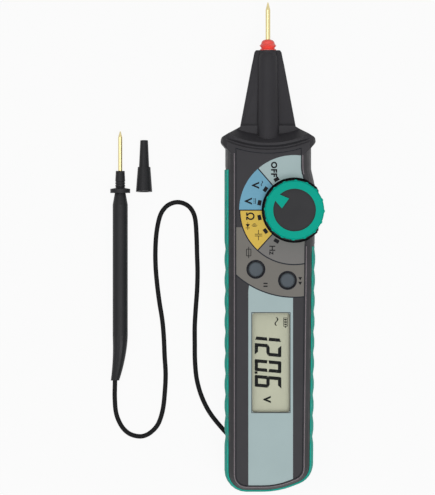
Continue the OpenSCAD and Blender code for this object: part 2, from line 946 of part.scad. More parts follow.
module dial_ring() color(teal) dial_frame(0) {
  straight_h = dial_top - dial_base - dial_chamfer;
  translate([0, 0, dial_base]) linear_extrude(straight_h) difference() {
    union() {
      circle(r = dial_r);
      for (i = [0:ridge_count - 1]) rotate((i + 0.5) * 360 / ridge_count)
        translate([dial_r + ridge_out - ridge_r, 0]) circle(r = ridge_r);
    }
    circle(r = dial_disc_r);
  }
  translate([0, 0, dial_base + straight_h]) difference() {
    cylinder(r1 = dial_r, r2 = dial_r - dial_chamfer, h = dial_chamfer);
    translate([0, 0, -over]) cylinder(r = dial_disc_r, h = dial_chamfer + 2 * over);
  }
  translate([0, 0, pointer_low]) linear_extrude(dial_top - pointer_low) intersection() {
    dial_pointer(0);
    circle(r = dial_disc_r + over / 4);
  }
}

key_half = 1.8;
module dial_cap() color([0.2, 0.2, 0.21]) dial_frame(0) {
  difference() {
    translate([0, 0, dial_base]) cylinder(r = dial_disc_r, h = dial_top - disc_sunk - dial_base);
    translate([0, 0, pointer_low]) linear_extrude(case_height) dial_pointer(0);
  }
  translate([0, 0, rotor_top]) cylinder(r = shaft_r, h = dial_base - rotor_top + over / 2);
  block([0, 0], [2 * key_half, 2 * key_half], rotor_low, rotor_top + over / 2);
}

rotor_r = 6.2;
rotor_thick = 2.2;
rotor_collar = 0.7;
detent_room = 1.1;
detent_pocket = 1.7;
detent_r = 0.9;
detent_play = 0.05;
detent_reach = 4.9;
rotor_top = ceiling - slide_gap - detent_room;
rotor_low = rotor_top - rotor_thick;
wiper_pitch = 120;
wiper_reach = 4.6;
wiper_size = [1.2, 2.4];

// Both detents, square to the pointer
module at_detents(z) {
  for (side = [-1, 1]) translate([0, side * detent_reach, z]) children();
}

module switch_rotor() color([0.9, 0.9, 0.88]) dial_frame(0) difference() {
  union() {
    pillar([0, 0], rotor_r, rotor_low, rotor_top);
    pillar([0, 0], shaft_r + rotor_collar, rotor_top - over / 2, ceiling - slide_gap);
  }
  pillar([0, 0], shaft_r, rotor_top, ceiling);
  block([0, 0], [2 * key_half, 2 * key_half], rotor_low - over, rotor_top + over);
  at_detents(rotor_top - detent_pocket) cylinder(r = detent_r, h = detent_pocket + over);
}

module wiper_contacts() color(brass) dial_frame(0)
  for (i = [0:2]) rotate([0, 0, i * wiper_pitch])
    block([wiper_reach, 0], wiper_size, board_top + slide_gap, rotor_low);

ball_z = ceiling - slide_gap - detent_r + detent_play;
module detent_balls() color(steel) dial_frame(0)
  at_detents(ball_z) sphere(r = detent_r - detent_play);

module detent_springs() color(steel) dial_frame(0)
  at_detents(rotor_top - detent_pocket)
    cylinder(
      r = detent_r - detent_play,
      h = ball_z - detent_r + detent_play - rotor_top + detent_pocket
    );

// Buttons: both lie on one circle about the dial

button_angles = [237, 264.5];
button_places = [for (a = button_angles) [dial_x + button_reach * cos(a), dial_y + button_reach * sin(a)]];
button_flange = 0.8;
button_flange_h = 1;
button_stem_r = 1.5;

button_edge = 0.46;
module button(at) {
  top = panel_top + button_proud;
  flange_top = ceiling - slide_gap;
  foot = board_top + dome_h + button_travel + slide_gap;
  pillar(at, button_r, flange_top - over / 2, top - button_edge);
  translate([at.x, at.y, top - button_edge])
    cylinder(r1 = button_r, r2 = button_r - button_edge, h = button_edge);
  pillar(at, button_r + button_flange, flange_top - button_flange_h, flange_top);
  pillar(at, button_stem_r, foot, flange_top);
}

module select_button() color([0.35, 0.37, 0.39]) button(button_places[0]);
module hold_button() color([0.35, 0.37, 0.39]) button(button_places[1]);

// Battery

// A cell is a can with a narrower lid
cell_step = 0.8;
cell_edge = 1.2;
module battery_cells() color(steel)
  for (at = cell_places) {
    pillar(at, cell_d / 2, back_wall + bridge_thick, back_wall + bridge_thick + cell_h - cell_step);
    pillar(at, cell_d / 2 - cell_edge, back_wall + bridge_thick, back_wall + bridge_thick + cell_h);
  }

contact_size = [8, 6];
contact_tip_r = 1.5;
contact_root_r = 2.3;
module battery_contacts() color(brass)
  for (at = cell_places) {
    block(at, contact_size, bay_ceiling - contact_thick, bay_ceiling);
    translate([at.x, at.y, bay_ceiling - contact_thick - contact_bump])
      cylinder(r1 = contact_tip_r, r2 = contact_root_r, h = contact_bump);
    block(at, [contact_pin, contact_pin], bay_ceiling - contact_thick, board_z);
  }

bridge_width = 7;
module cell_bridge() color(brass)
  block([0, bay_y], [bridge_width, bay_size.y - 2 * cell_gap], back_wall, back_wall + bridge_thick);

module battery_cover() color(black) difference() {
  plate(cover_at, cover_size, cover_r, cover_sunk, back_wall);
  pillar(cover_screw_at, cover_screw_r, 0, 2 * back_wall);
  pillar(cover_screw_at, cover_screw_head_r, 0, cover_sunk + cover_screw_head_h);
}

module cover_screw() color(steel) {
  pillar(cover_screw_at, cover_screw_head_r, cover_sunk, cover_sunk + cover_screw_head_h);
  pillar(cover_screw_at, cover_screw_r, cover_sunk, back_wall + cover_screw_length - over / 2);
}

module case_screws() color(steel)
  for (at = case_screw_places) {
    pillar(at, screw_head_r, screw_seat - screw_head_h, screw_seat);
    pillar(at, screw_r, screw_seat - screw_head_h, screw_seat + screw_length);
  }

// Lead and its probe

gland_end_r = 1.5;
module lead_gland() color(black) lead_frame() rotate([0, 90, 0]) {
  translate([0, 0, -gland_seat]) cylinder(r = gland_r, h = gland_seat);
  cylinder(r1 = gland_r, r2 = gland_end_r, h = gland_length);
}

// The handle's middle line, and its end at the boot
probe_x = -57.6;
probe_z = probe_guard_r;
boot_y = -7.8;
boot_length = 17.6;
boot_end_r = 1.65;
boot_shift = [-2.1, -2.1];
probe_guard_h = 1.6;
neck_r = 2.12;
neck_length = 4.6;
nose_front_r = 1.73;
nose_back_r = 1.94;
notch_count = 3;
notch_pitch = 1;
notch_deep = 0.18;
// Along one notch: shares of the pitch and of the depth
notch_shares = [[0.4, 0], [0.6, 1], [0.8, 1], [1, 0]];
probe_needle_in = 10;
probe_needle_point = 2.3;

module probe_frame(y) {
  translate([probe_x, y, probe_z]) rotate([-90, 0, 0]) children();
}

// Handle, turned about its own length: nose with three notches, guard, neck and barrel
module probe_handle() color(black) probe_frame(boot_y) rotate_extrude() {
  guard = probe_barrel;
  nose = guard + probe_guard_h;
  tip = guard + probe_nose;
  polygon([
    [0, 0],
    [probe_r, 0],
    [probe_r, guard - neck_length],
    [neck_r, guard],
    [probe_guard_r, guard],
    [probe_guard_r, nose],
    for (i = [0:notch_count - 1]) for (s = notch_shares)
      [nose_back_r - notch_deep * s[1], nose + (i + s[0]) * notch_pitch],
    [nose_front_r, tip],
    [probe_needle_r * neck_share, tip],
    [probe_needle_r * neck_share, tip - probe_needle_in],
    [0, tip - probe_needle_in]
  ]);
}

module probe_needle() color(brass) probe_frame(boot_y + probe_barrel + probe_nose) {
  straight = probe_needle_out - probe_needle_point;
  translate([0, 0, -probe_needle_in]) cylinder(r = probe_needle_r * neck_share, h = probe_needle_in + over);
  cylinder(r = probe_needle_r, h = straight);
  translate([0, 0, straight])
    cylinder(r1 = probe_needle_r, r2 = probe_needle_r * point_share, h = probe_needle_point);
}

// Soft tail of the handle, bent down to the surface and to the left
boot_sides = 16;
boot_steps = 8;
boot_power = 1.3;
function boot_centre(t) = [
  probe_x + boot_shift.x * t * t, boot_y - boot_length * t, probe_z + boot_shift.y * t * t
];
function boot_r(t) = probe_r + (boot_end_r - probe_r) * pow(t, boot_power);
module probe_boot() color(black)
  loft([
    for (i = [boot_steps:-1:0])
      let (t = i / boot_steps, at = boot_centre(t))
      [for (k = [0:boot_sides - 1])
        at + boot_r(t) * [cos(360 * k / boot_sides), 0, -sin(360 * k / boot_sides)]]
  ]);

// Centreline of the lead, from the gland to the probe's tail
cord_points = [
  [-14.1, -48, 2.7], [-18.4, -43.4, 2], [-22.7, -37.9, 1.1], [-25.8, -31.7, 0.9], [-27.7, -25, 0.9],
  [-28.4, -18, 0.9], [-28.5, -11, 0.9], [-28.5, -4, 0.9], [-28.1, 2.9, 0.9], [-27.6, 9.9, 0.9],
  [-27.4, 16.9, 0.9], [-27.6, 23.9, 0.9], [-27.8, 30.9, 0.9], [-28.3, 37.6, 0.9], [-29.6, 41.2, 0.9],
  [-31.7, 43.3, 0.9], [-34.6, 44.3, 0.9], [-37.5, 43.9, 0.9], [-40.1, 42.2, 0.9], [-42.1, 38.9, 0.9],
  [-43.4, 32.9, 0.9], [-43.9, 25.9, 0.9], [-43.8, 18.9, 0.9], [-43.2, 12, 0.9], [-42.3, 5, 0.9],
  [-41.2, -1.9, 0.9], [-40.6, -8.8, 0.9], [-40.3, -15.8, 0.9], [-39.9, -22.8, 0.9], [-40.2, -29.8, 0.9],
  [-41, -36.8, 0.9], [-42.7, -42.2, 0.9], [-45.3, -45.4, 0.9], [-48.3, -47.1, 0.9], [-51.3, -47.2, 0.9],
  [-54.5, -46, 0.9], [-57.2, -43.2, 0.9], [-59.2, -38.5, 0.9], [-59.8, -32.4, 1.2], [-59.7, -25.4, 1.8]
];
cord_sides = 8;

// Smooth curve through the route's points, two steps to a stretch
function spline(p, i, t) =
  let (
    n = len(p) - 1,
    a = i > 0 ? p[i - 1] : 2 * p[0] - p[1],
    b = p[i],
    c = p[i + 1],
    d = i < n - 1 ? p[i + 2] : 2 * p[n] - p[n - 1]
  )
  (2 * b + (c - a) * t + (2 * a - 5 * b + 4 * c - d) * t * t + (3 * b - a - 3 * c + d) * t * t * t) / 2;
cord_line = concat(
  [for (i = [0:len(cord_points) - 2]) for (t = [0, 0.5]) spline(cord_points, i, t)],
  [cord_points[len(cord_points) - 1]]
);

module lead_cord() color([0.1, 0.1, 0.1]) {
  n = len(cord_line);
  loft([
    for (i = [0:n - 1])
      let (
        way = unit(cord_line[min(i + 1, n - 1)] - cord_line[max(i - 1, 0)]),
        side = unit(cross(way, [0, 0, 1])),
        up = cross(side, way)
      )
      [for (k = [0:cord_sides - 1])
        let (a = 360 * (k + 0.5) / cord_sides)
        cord_line[i] + cord_d / 2 * (cos(a) * side + sin(a) * up)]
  ]);
}

// Cap, lying on its open end's edge and its step
cap_tilt = atan2(cap_mouth_r - cap_step_r, cap_step);
cap_bore_r = 2;
cap_bore_depth = 8.4;
cap_needle_r = 1.05;
cap_end_wall = 1.6;
module probe_cap() color(black)
  translate([cap_x, cap_mouth, 0]) rotate([-cap_tilt, 0, 0]) translate([0, 0, cap_mouth_r])
    rotate([-90, 0, 0]) rotate_extrude() polygon([
      [cap_bore_r, 0], [cap_mouth_r, 0], [cap_step_r, cap_step], [cap_neck_r, cap_step],
      [cap_end_r, cap_length], [0, cap_length], [0, cap_length - cap_end_wall],
      [cap_needle_r, cap_length - cap_end_wall], [cap_needle_r, cap_bore_depth], [cap_bore_r, cap_bore_depth]
    ]);

front_case();
back_case();
side_grip();
front_panel();
window_lens();
lcd_glass();
lcd_holder();
zebra_strips();
main_board();
meter_chip();
crystal();
input_protector();
input_resistors();
buzzer();
key_domes();
tip_needle();
tip_collar();
tip_terminal();
dial_ring();
dial_cap();
switch_rotor();
wiper_contacts();
detent_balls();
detent_springs();
select_button();
hold_button();
battery_cells();
battery_contacts();
cell_bridge();
battery_cover();
cover_screw();
case_screws();
lead_gland();
lead_cord();
probe_boot();
probe_handle();
probe_needle();
probe_cap();
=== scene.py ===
"""Looks of the pen-type multimeter, in metres and in the CAD model's own frame."""

import math

import bmesh
import bpy
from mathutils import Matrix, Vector
from mathutils.geometry import delaunay_2d_cdt
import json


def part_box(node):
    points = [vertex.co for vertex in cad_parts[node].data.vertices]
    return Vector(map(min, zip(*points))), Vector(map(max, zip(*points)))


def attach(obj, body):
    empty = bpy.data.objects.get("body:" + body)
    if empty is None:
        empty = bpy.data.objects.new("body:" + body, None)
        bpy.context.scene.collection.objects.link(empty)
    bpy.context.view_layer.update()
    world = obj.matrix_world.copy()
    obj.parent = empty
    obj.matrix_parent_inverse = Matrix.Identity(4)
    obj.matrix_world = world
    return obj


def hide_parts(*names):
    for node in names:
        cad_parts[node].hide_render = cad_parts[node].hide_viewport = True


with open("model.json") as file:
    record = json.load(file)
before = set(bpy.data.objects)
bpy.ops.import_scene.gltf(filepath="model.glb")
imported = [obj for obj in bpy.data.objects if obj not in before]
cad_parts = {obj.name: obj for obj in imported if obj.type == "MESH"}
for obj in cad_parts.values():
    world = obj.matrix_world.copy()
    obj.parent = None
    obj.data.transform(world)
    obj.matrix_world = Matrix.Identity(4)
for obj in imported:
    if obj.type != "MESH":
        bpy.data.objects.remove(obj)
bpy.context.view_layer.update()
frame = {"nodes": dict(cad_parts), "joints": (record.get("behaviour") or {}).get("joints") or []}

MM = 0.001
nodes = frame["nodes"]
joints = {joint["name"]: joint for joint in frame["joints"]}
scene = bpy.context.scene
scene.view_settings.view_transform = "Standard"


def link(name, data):
    """A new object in the scene."""
    obj = bpy.data.objects.new(name, data)
    scene.collection.objects.link(obj)
    return obj


# Camera: straight above, at the photograph's framing

VIEW_CENTRE = Vector((-19.6, 26.6, 13)) * MM
VIEW_HEIGHT = 192.3 * MM
LENS = 300
SENSOR = 36
NEAREST = 0.01
FURTHEST = 20

camera_data = bpy.data.cameras.new("camera")
camera_data.lens = LENS
camera_data.sensor_width = SENSOR
camera_data.clip_start = NEAREST
camera_data.clip_end = FURTHEST
camera = link("camera", camera_data)
camera.location = VIEW_CENTRE + Vector((0, 0, VIEW_HEIGHT * LENS / SENSOR))
scene.camera = camera


# Colours and shader nodes

BLACK = (0, 0, 0, 1)
WHITE = (1, 1, 1, 1)


def linear(red, green, blue):
    """A display colour from 0 to 255 as Blender's linear colour."""
    def one(c):
        c /= 255
        return c / 12.92 if c <= 0.04045 else ((c + 0.055) / 1.055) ** 2.4
    return one(red), one(green), one(blue), 1


def scaled(colour, factor):
    """A colour made lighter or darker."""
    return tuple(min(c * factor, 1) for c in colour[:3]) + (1,)


def feed(tree, socket, value):
    """Gives a socket a link from another node's output, or a plain value."""
    if isinstance(value, bpy.types.NodeSocket):
        tree.links.new(value, socket)
    else:
        socket.default_value = value


def add(tree, kind, sockets, **settings):
    """A shader node with its settings, and with what feeds each of its named sockets."""
    node = tree.nodes.new("ShaderNode" + kind)
    for name, value in settings.items():
        setattr(node, name, value)
    for name, value in sockets.items():
        feed(tree, node.inputs[name], value)
    return node


def ramp(tree, factor, low, high):
    """A colour that goes from one position and colour to another."""
    node = add(tree, "ValToRGB", {"Fac": factor})
    for element, (position, colour) in zip(node.color_ramp.elements, (low, high)):
        element.position = position
        element.color = colour
    return node.outputs["Color"]


# Materials: sizes are in millimetres

MOTTLE_SIZE = 14
MOTTLE_LOW = 0.3
MOTTLE_HIGH = 0.7
GLOSS_SIZE = 4
ROUGH_MIN = 0.02
GRAIN_DETAIL = 2
BEVEL_SAMPLES = 4
# Lighter edges: partly wear, partly a painted highlight along raised edges
WEAR_AND_HIGHLIGHT_REACH = 0.3
WORN_AND_LIT = 0.88
UNWORN_AND_UNLIT = 0.99


def rounded(tree, radius):
    """The surface's normal as if its edges were rounded."""
    return add(tree, "Bevel", {"Radius": radius * MM}, samples=BEVEL_SAMPLES).outputs["Normal"]


def edges_worn_and_highlit(tree, base, colour):
    """Another colour at the edges, where the rounded normal turns away from the real one: partly wear and
    partly a painted highlight.
    """
    normal = add(tree, "NewGeometry", {}).outputs["Normal"]
    turn = add(tree, "VectorMath", {0: normal, 1: rounded(tree, WEAR_AND_HIGHLIGHT_REACH)}, operation="DOT_PRODUCT")
    share = ramp(tree, turn.outputs["Value"], (WORN_AND_LIT, WHITE), (UNWORN_AND_UNLIT, BLACK))
    mix = add(tree, "Mix", {"Factor": share, "A": base, "B": colour}, data_type="RGBA")
    return mix.outputs["Result"]


def material(name, colour, rough=0.5, grain=0.0, grain_size=0.4, spread=0.08, metal=0,
             rough_spread=0.08, specular=0.5, coat=0, edge_wear_and_highlight=0.0, streaks=None, edge=0.0):
    """Plastic, rubber or metal: mottled colour, uneven roughness, fine grain, and raised edges made
    lighter, partly as wear and partly as a painted highlight.
    """
    made = bpy.data.materials.new(name)
    made.use_nodes = True
    tree = made.node_tree
    place = add(tree, "TexCoord", {}).outputs["Object"]
    if streaks:
        place = add(tree, "Mapping", {"Vector": place, "Scale": streaks}).outputs["Vector"]

    def noise(size, detail=3):
        sockets = {"Vector": place, "Scale": 1 / (size * MM), "Detail": detail}
        return add(tree, "TexNoise", sockets).outputs["Fac"]

    base = ramp(tree, noise(MOTTLE_SIZE), (MOTTLE_LOW, scaled(colour, 1 - spread)),
                (MOTTLE_HIGH, scaled(colour, 1 + spread)))
    # Edges painted lighter: partly wear, partly a painted highlight
    if edge_wear_and_highlight:
        base = edges_worn_and_highlit(tree, base, scaled(colour, 1 + edge_wear_and_highlight))
    gloss = add(tree, "MapRange", {
        "Value": noise(GLOSS_SIZE),
        "To Min": max(rough - rough_spread, ROUGH_MIN),
        "To Max": min(rough + rough_spread, 1),
    })
    looks = {
        "Base Color": base,
        "Roughness": gloss.outputs["Result"],
        "Metallic": metal,
        "Specular IOR Level": specular,
        "Coat Weight": coat,
    }
    if grain:
        relief = {"Strength": 1, "Distance": grain * MM, "Height": noise(grain_size, GRAIN_DETAIL)}
        if edge:
            relief["Normal"] = rounded(tree, edge)
        looks["Normal"] = add(tree, "Bump", relief).outputs["Normal"]
    for socket, value in looks.items():
        feed(tree, tree.nodes["Principled BSDF"].inputs[socket], value)
    return made


# The lighter edges of case_black, dial_teal and probe_black are partly wear, partly a painted highlight
case_black = material("case_black", linear(50, 49, 52), 0.46, grain=0.012, grain_size=0.35, specular=0.13,
                      edge_wear_and_highlight=0.45, edge=0.25)
print_look = dict(rough=0.46, grain=0.004, grain_size=0.3, specular=0.12, spread=0.03)
panel_dark = material("panel_dark", linear(53, 52, 55), **print_look)
line_dark = material("line_dark", linear(24, 28, 36), **print_look)
line_grey = material("line_grey", linear(66, 72, 74), **print_look)
pale_grey = material("pale_grey", linear(158, 176, 177), **print_look)
sky_blue = material("sky_blue", linear(107, 158, 182), **print_look)
warm_yellow = material("warm_yellow", linear(206, 174, 76), **print_look)
mid_grey = material("mid_grey", linear(114, 112, 110), **print_look)
brown_grey = material("brown_grey", linear(112, 109, 104), **print_look)
grip_teal = material("grip_teal", linear(22, 168, 150), 0.62, grain=0.02, grain_size=0.3, spread=0.06,
                     specular=0.15, edge=0.2)
dial_teal = material("dial_teal", linear(0, 156, 136), 0.5, grain=0.006, spread=0.04, specular=0.07,
                     edge_wear_and_highlight=0.15, edge=0.12)
dial_dark = material("dial_dark", linear(50, 50, 52), 0.5, grain=0.01, grain_size=0.3, specular=0.1)
button_grey = material("button_grey", linear(76, 83, 89), 0.55, grain=0.01, grain_size=0.25,
                       specular=0.15, edge=0.25)
collar_red = material("collar_red", linear(246, 80, 70), 0.32, grain=0.003, specular=0.4, coat=0.15)
gilt = material("gilt", linear(221, 206, 154), 0.27, metal=1, spread=0.05, rough_spread=0.06,
                streaks=(1, 0.08, 1))
steel = material("steel", linear(165, 165, 168), 0.35, metal=1, spread=0.05)
cord_black = material("cord_black", linear(26, 26, 27), 0.55, grain=0.008, grain_size=0.3, specular=0.06)
probe_black = material("probe_black", linear(36, 36, 38), 0.4, grain=0.006, grain_size=0.3,
                       specular=0.16, edge_wear_and_highlight=0.2, edge=0.12)
display_tan = material("display_tan", linear(200, 202, 178), 0.4, spread=0.02, specular=0.2)
segment_black = material("segment_black", linear(14, 14, 14), 0.4, spread=0.1, specular=0.05)
mark_black = material("mark_black", linear(20, 20, 23), 0.45, spread=0.1, specular=0.08)
# Colour of the painted highlight along the rim's outer top edge
rim_highlight_grey = material("rim_highlight_grey", linear(126, 117, 122), 0.5, grain=0.006, specular=0.2)

glass = material("glass", linear(70, 76, 76), 0.06, spread=0.01, rough_spread=0.03, specular=0.15)
glass_inputs = glass.node_tree.nodes["Principled BSDF"].inputs
glass_inputs["Alpha"].default_value = 0.06
glass_inputs["IOR"].default_value = 1.45


# Materials of the CAD nodes that stay

def finish(node, mat):
    """A new material on a CAD node, in all of its slots."""
    obj = nodes[node]
    if obj.material_slots:
        for slot in obj.material_slots:
            slot.material = mat
    else:
        obj.data.materials.append(mat)


FINISHES = {
    case_black: ["front_case", "back_case", "battery_cover"],
    grip_teal: ["side_grip"],
    glass: ["window_lens"],
    display_tan: ["lcd_glass"],
    dial_teal: ["dial_ring"],
    dial_dark: ["dial_cap"],
    button_grey: ["select_button", "hold_button"],
    collar_red: ["tip_collar"],
    gilt: ["tip_needle", "probe_needle", "tip_terminal", "wiper_contacts", "battery_contacts",
           "cell_bridge", "buzzer"],
    steel: ["case_screws", "cover_screw", "battery_cells", "crystal", "key_domes", "detent_balls",
            "detent_springs"],
    probe_black: ["probe_handle", "probe_boot", "probe_cap"],
    cord_black: ["lead_gland", "meter_chip"],
}
for mat, names in FINISHES.items():
    for name in names:
        finish(name, mat)


# Making pieces

BEAD_ROUNDNESS = 2


def piece(name, data, body, mats, replaced=()):
    """An object that rides on a body, and may stand for CAD nodes."""
    obj = link(name, data)
    for mat in mats:
        data.materials.append(mat)
    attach(obj, body)
    if replaced:
        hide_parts(*replaced)


def mesh_data(name, mesh):
    """Mesh data from a bmesh, which is freed."""
    data = bpy.data.meshes.new(name)
    mesh.to_mesh(data)
    mesh.free()
    return data


def smooth(mesh, sharp=35):
    """Smooth shading, apart from edges that turn by more than some degrees."""
    for polygon in mesh.polygons:
        polygon.use_smooth = True
    mesh.set_sharp_from_angle(angle=math.radians(sharp))


def tube(name, lines, radius, roundness):
    """A round curve along open lines of points, all in metres."""
    curve = bpy.data.curves.new(name, "CURVE")
    curve.dimensions = "3D"
    curve.bevel_depth = radius
    curve.bevel_resolution = roundness
    curve.use_fill_caps = True
    for line in lines:
        strand = curve.splines.new("POLY")
        strand.points.add(len(line) - 1)
        for point, at in zip(strand.points, line):
            point.co = (*at, 1)
    return curve


def bead(name, lines, z, radius, mat):
    """A thin round bead on the housing, along open lines at one height, in millimetres."""
    places = [[Vector((x, y, z)) * MM for x, y in line] for line in lines]
    piece(name, tube(name, places, radius * MM, BEAD_ROUNDNESS), "housing", [mat])


# The lead: the same route as in the CAD source

CORD_D = 1.8 * MM
CORD_ROUNDNESS = 5
CORD_STEPS = 6
CORD_POINTS = [
    (-14.1, -48, 2.7), (-18.4, -43.4, 2), (-22.7, -37.9, 1.1), (-25.8, -31.7, 0.9), (-27.7, -25, 0.9),
    (-28.4, -18, 0.9), (-28.5, -11, 0.9), (-28.5, -4, 0.9), (-28.1, 2.9, 0.9), (-27.6, 9.9, 0.9),
    (-27.4, 16.9, 0.9), (-27.6, 23.9, 0.9), (-27.8, 30.9, 0.9), (-28.3, 37.6, 0.9), (-29.6, 41.2, 0.9),
    (-31.7, 43.3, 0.9), (-34.6, 44.3, 0.9), (-37.5, 43.9, 0.9), (-40.1, 42.2, 0.9), (-42.1, 38.9, 0.9),
    (-43.4, 32.9, 0.9), (-43.9, 25.9, 0.9), (-43.8, 18.9, 0.9), (-43.2, 12, 0.9), (-42.3, 5, 0.9),
    (-41.2, -1.9, 0.9), (-40.6, -8.8, 0.9), (-40.3, -15.8, 0.9), (-39.9, -22.8, 0.9), (-40.2, -29.8, 0.9),
    (-41, -36.8, 0.9), (-42.7, -42.2, 0.9), (-45.3, -45.4, 0.9), (-48.3, -47.1, 0.9), (-51.3, -47.2, 0.9),
    (-54.5, -46, 0.9), (-57.2, -43.2, 0.9), (-59.2, -38.5, 0.9), (-59.8, -32.4, 1.2), (-59.7, -25.4, 1.8),
]


def spline(points, steps):
    """Catmull-Rom curve through points in millimetres, as in the CAD source."""
    p = [Vector(v) * MM for v in points]
    p = [2 * p[0] - p[1]] + p + [2 * p[-1] - p[-2]]
    line = []
    for a, b, c, d in zip(p, p[1:], p[2:], p[3:]):
        for i in range(steps):
            t = i / steps
            line.append((2 * b + (c - a) * t + (2 * a - 5 * b + 4 * c - d) * t ** 2
                         + (3 * b - a - 3 * c + d) * t ** 3) / 2)
    line.append(p[-2])
    return line


cord_line = spline(CORD_POINTS, CORD_STEPS)
cord = link("lead", tube("lead", [cord_line], CORD_D / 2, CORD_ROUNDNESS))
cord.data.materials.append(cord_black)
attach(cord, "housing")
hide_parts("lead_cord")


# Outlines in millimetres: points (x, y) of closed loops and open lines

DECIMALS = 4
SAME_POINT = 1e-5
SAME_LEVEL = 0.01 * MM


def flat_border(node, z, up=True):
    """Edges, as pairs of points, round a CAD node's flat faces at one height."""
    mesh = nodes[node].data
    edges = {}
    for polygon in mesh.polygons:
        facing = polygon.normal.z if up else -polygon.normal.z
        if facing > 0.5 and abs(polygon.center.z - z) < SAME_LEVEL:
            loop = list(polygon.vertices)
            for ends in zip(loop, loop[1:] + loop[:1]):
                a, b = (tuple(round(c / MM, DECIMALS) for c in mesh.vertices[i].co[:2]) for i in ends)
                key = (min(a, b), max(a, b))
                edges[key] = edges.get(key, 0) + 1
    return [key for key, count in edges.items() if count == 1]


def area(loop):
    """A closed loop's area, below zero where it runs clockwise."""
    return sum(a[0] * b[1] - b[0] * a[1] for a, b in zip(loop, loop[1:] + loop[:1])) / 2


def outer_loop(edges):
    """The largest closed loop of the edges, counter-clockwise."""
    links = {}
    for a, b in edges:
        links.setdefault(a, []).append(b)
        links.setdefault(b, []).append(a)
    loops = []
    while links:
        start = here = next(iter(links))
        loop = []
        while links.get(here):
            loop.append(here)
            there = links[here].pop()
            links[there].remove(here)
            if not links[here]:
                del links[here]
            here = there
        links.pop(start, None)
        loops.append(loop)
    best = max(loops, key=lambda loop: abs(area(loop)))
    return best if area(best) > 0 else best[::-1]


def moved_out(loop, distance):
    """A counter-clockwise loop with each point moved outwards."""
    moved = []
    for a, b, c in zip(loop[-1:] + loop[:-1], loop, loop[1:] + loop[:1]):
        way = (Vector(c) - Vector(a)).normalized()
        moved.append((b[0] + way.y * distance, b[1] - way.x * distance))
    return moved


def dense(loop, step=1.0):
    """A closed loop with no two neighbours further apart than the step."""
    found = []
    for a, b in zip(loop, loop[1:] + loop[:1]):
        start, end = Vector(a), Vector(b)
        count = max(1, math.ceil((end - start).length / step))
        found += [tuple(start.lerp(end, i / count)) for i in range(count)]
    return found


def runs(loop, keep):
    """The stretches of a closed loop whose points are kept."""
    first = next((i for i, p in enumerate(loop) if not keep(p)), 0)
    found, run = [], []
    for p in loop[first:] + loop[:first]:
        if keep(p):
            run.append(p)
        elif run:
            found.append(run)
            run = []
    if run:
        found.append(run)
    return [run for run in found if len(run) > 1]


def about(centre, angle, points):
    """Points turned by some degrees, and then moved to a centre."""
    c, s = math.cos(math.radians(angle)), math.sin(math.radians(angle))
    return [(centre[0] + c * x - s * y, centre[1] + s * x + c * y) for x, y in points]


def arc(centre, r, start, end, step=1.5):
    """An open line round a centre, from one angle to another in steps of some degrees."""
    count = max(2, int(abs(end - start) / step) + 1)
    line = []
    for i in range(count + 1):
        line += about(centre, start + (end - start) * i / count, [(r, 0)])
    return line


def box_outline(x, y, w, h, angle=0):
    """A rectangle about its middle point, turned by some degrees."""
    corners = ((-w / 2, -h / 2), (w / 2, -h / 2), (w / 2, h / 2), (-w / 2, h / 2))
    return about((x, y), angle, corners)


def stroke(x1, y1, x2, y2, width):
    """A straight stroke from one point to another."""
    v = Vector((x2 - x1, y2 - y1))
    side = Vector((-v.y, v.x)).normalized() * width / 2
    return [(x1 + side.x, y1 + side.y), (x2 + side.x, y2 + side.y), (x2 - side.x, y2 - side.y),
            (x1 - side.x, y1 - side.y)]


def along_x(x, y, half, width):
    """A stroke along X, with half its length on either side of the middle."""
    return stroke(x - half, y, x + half, y, width)


def along_y(x, y, half, width):
    """A stroke along Y, with half its length on either side of the middle."""
    return stroke(x, y + half, x, y - half, width)


# Printed panel: one plate, with a material for each printed area

DIAL = Vector([c / MM for c in joints["dial_turn"]["pos_m"][:2]])
panel_low, panel_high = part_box("front_panel")
PANEL_Z = panel_high.z / MM
panel_edges = flat_border("front_panel", panel_high.z)
panel_outline = outer_loop(panel_edges)

LINE = 0.46
SECTOR_R = 21.0
SECTOR_EDGES = (131, 180, 227.7)
SECTOR_LOOKS = (pale_grey, sky_blue, warm_yellow)
SECTOR_START = 12
LOWER_HALF = 180
ZONE_R = 33.6
ZONE_TOP = 34.4
ZONE_TOP_ENDS = (-20, 10)
LIGHT_LEFT = -7.7
LIGHT_RIGHT = 9.5
LIGHT_ENDS = (10, -70)
PANEL_LOOKS = [panel_dark, line_dark, pale_grey, sky_blue, warm_yellow, mid_grey, brown_grey]


def printed_lines():
    """Open lines along which the panel is cut: both sides of each printed line, and the areas' edges."""
    lines = []
    for r in (SECTOR_R, ZONE_R):
        lines.append(arc(DIAL, r - LINE / 2, 0, 360))
        lines.append(arc(DIAL, r + LINE / 2, 0, 360))
    for angle in SECTOR_EDGES:
        for side in (-LINE / 2, LINE / 2):
            lines.append(about(DIAL, angle, [(SECTOR_START, side), (SECTOR_R + LINE / 2, side)]))
    lines.append([(x, ZONE_TOP) for x in ZONE_TOP_ENDS])
    for x in (LIGHT_LEFT, LIGHT_RIGHT):
        lines.append([(x, y) for y in LIGHT_ENDS])
    return lines


def sector_look(r, angle):
    """The material at a point of the dial's sectors."""
    for edge in SECTOR_EDGES:
        turn = math.radians(angle - edge)
        if abs(r * math.sin(turn)) < LINE / 2 and math.cos(turn) > 0:
            return line_dark
    if r > SECTOR_R - LINE / 2 and angle > LOWER_HALF:
        return line_dark
    for edge, look in zip(SECTOR_EDGES, SECTOR_LOOKS):
        if angle < edge:
            return look
    return mid_grey


def panel_look(at):
    """The material at a point of the panel."""
    out = at - DIAL
    angle = math.degrees(math.atan2(out.y, out.x)) % 360
    if out.length < SECTOR_R + LINE / 2:
        return sector_look(out.length, angle)
    if abs(out.length - ZONE_R) < LINE / 2:
        return line_dark
    below = at.y < ZONE_TOP
    if out.length < ZONE_R:
        return brown_grey if below and angle > LOWER_HALF else panel_dark
    return pale_grey if below and LIGHT_LEFT < at.x < LIGHT_RIGHT else panel_dark


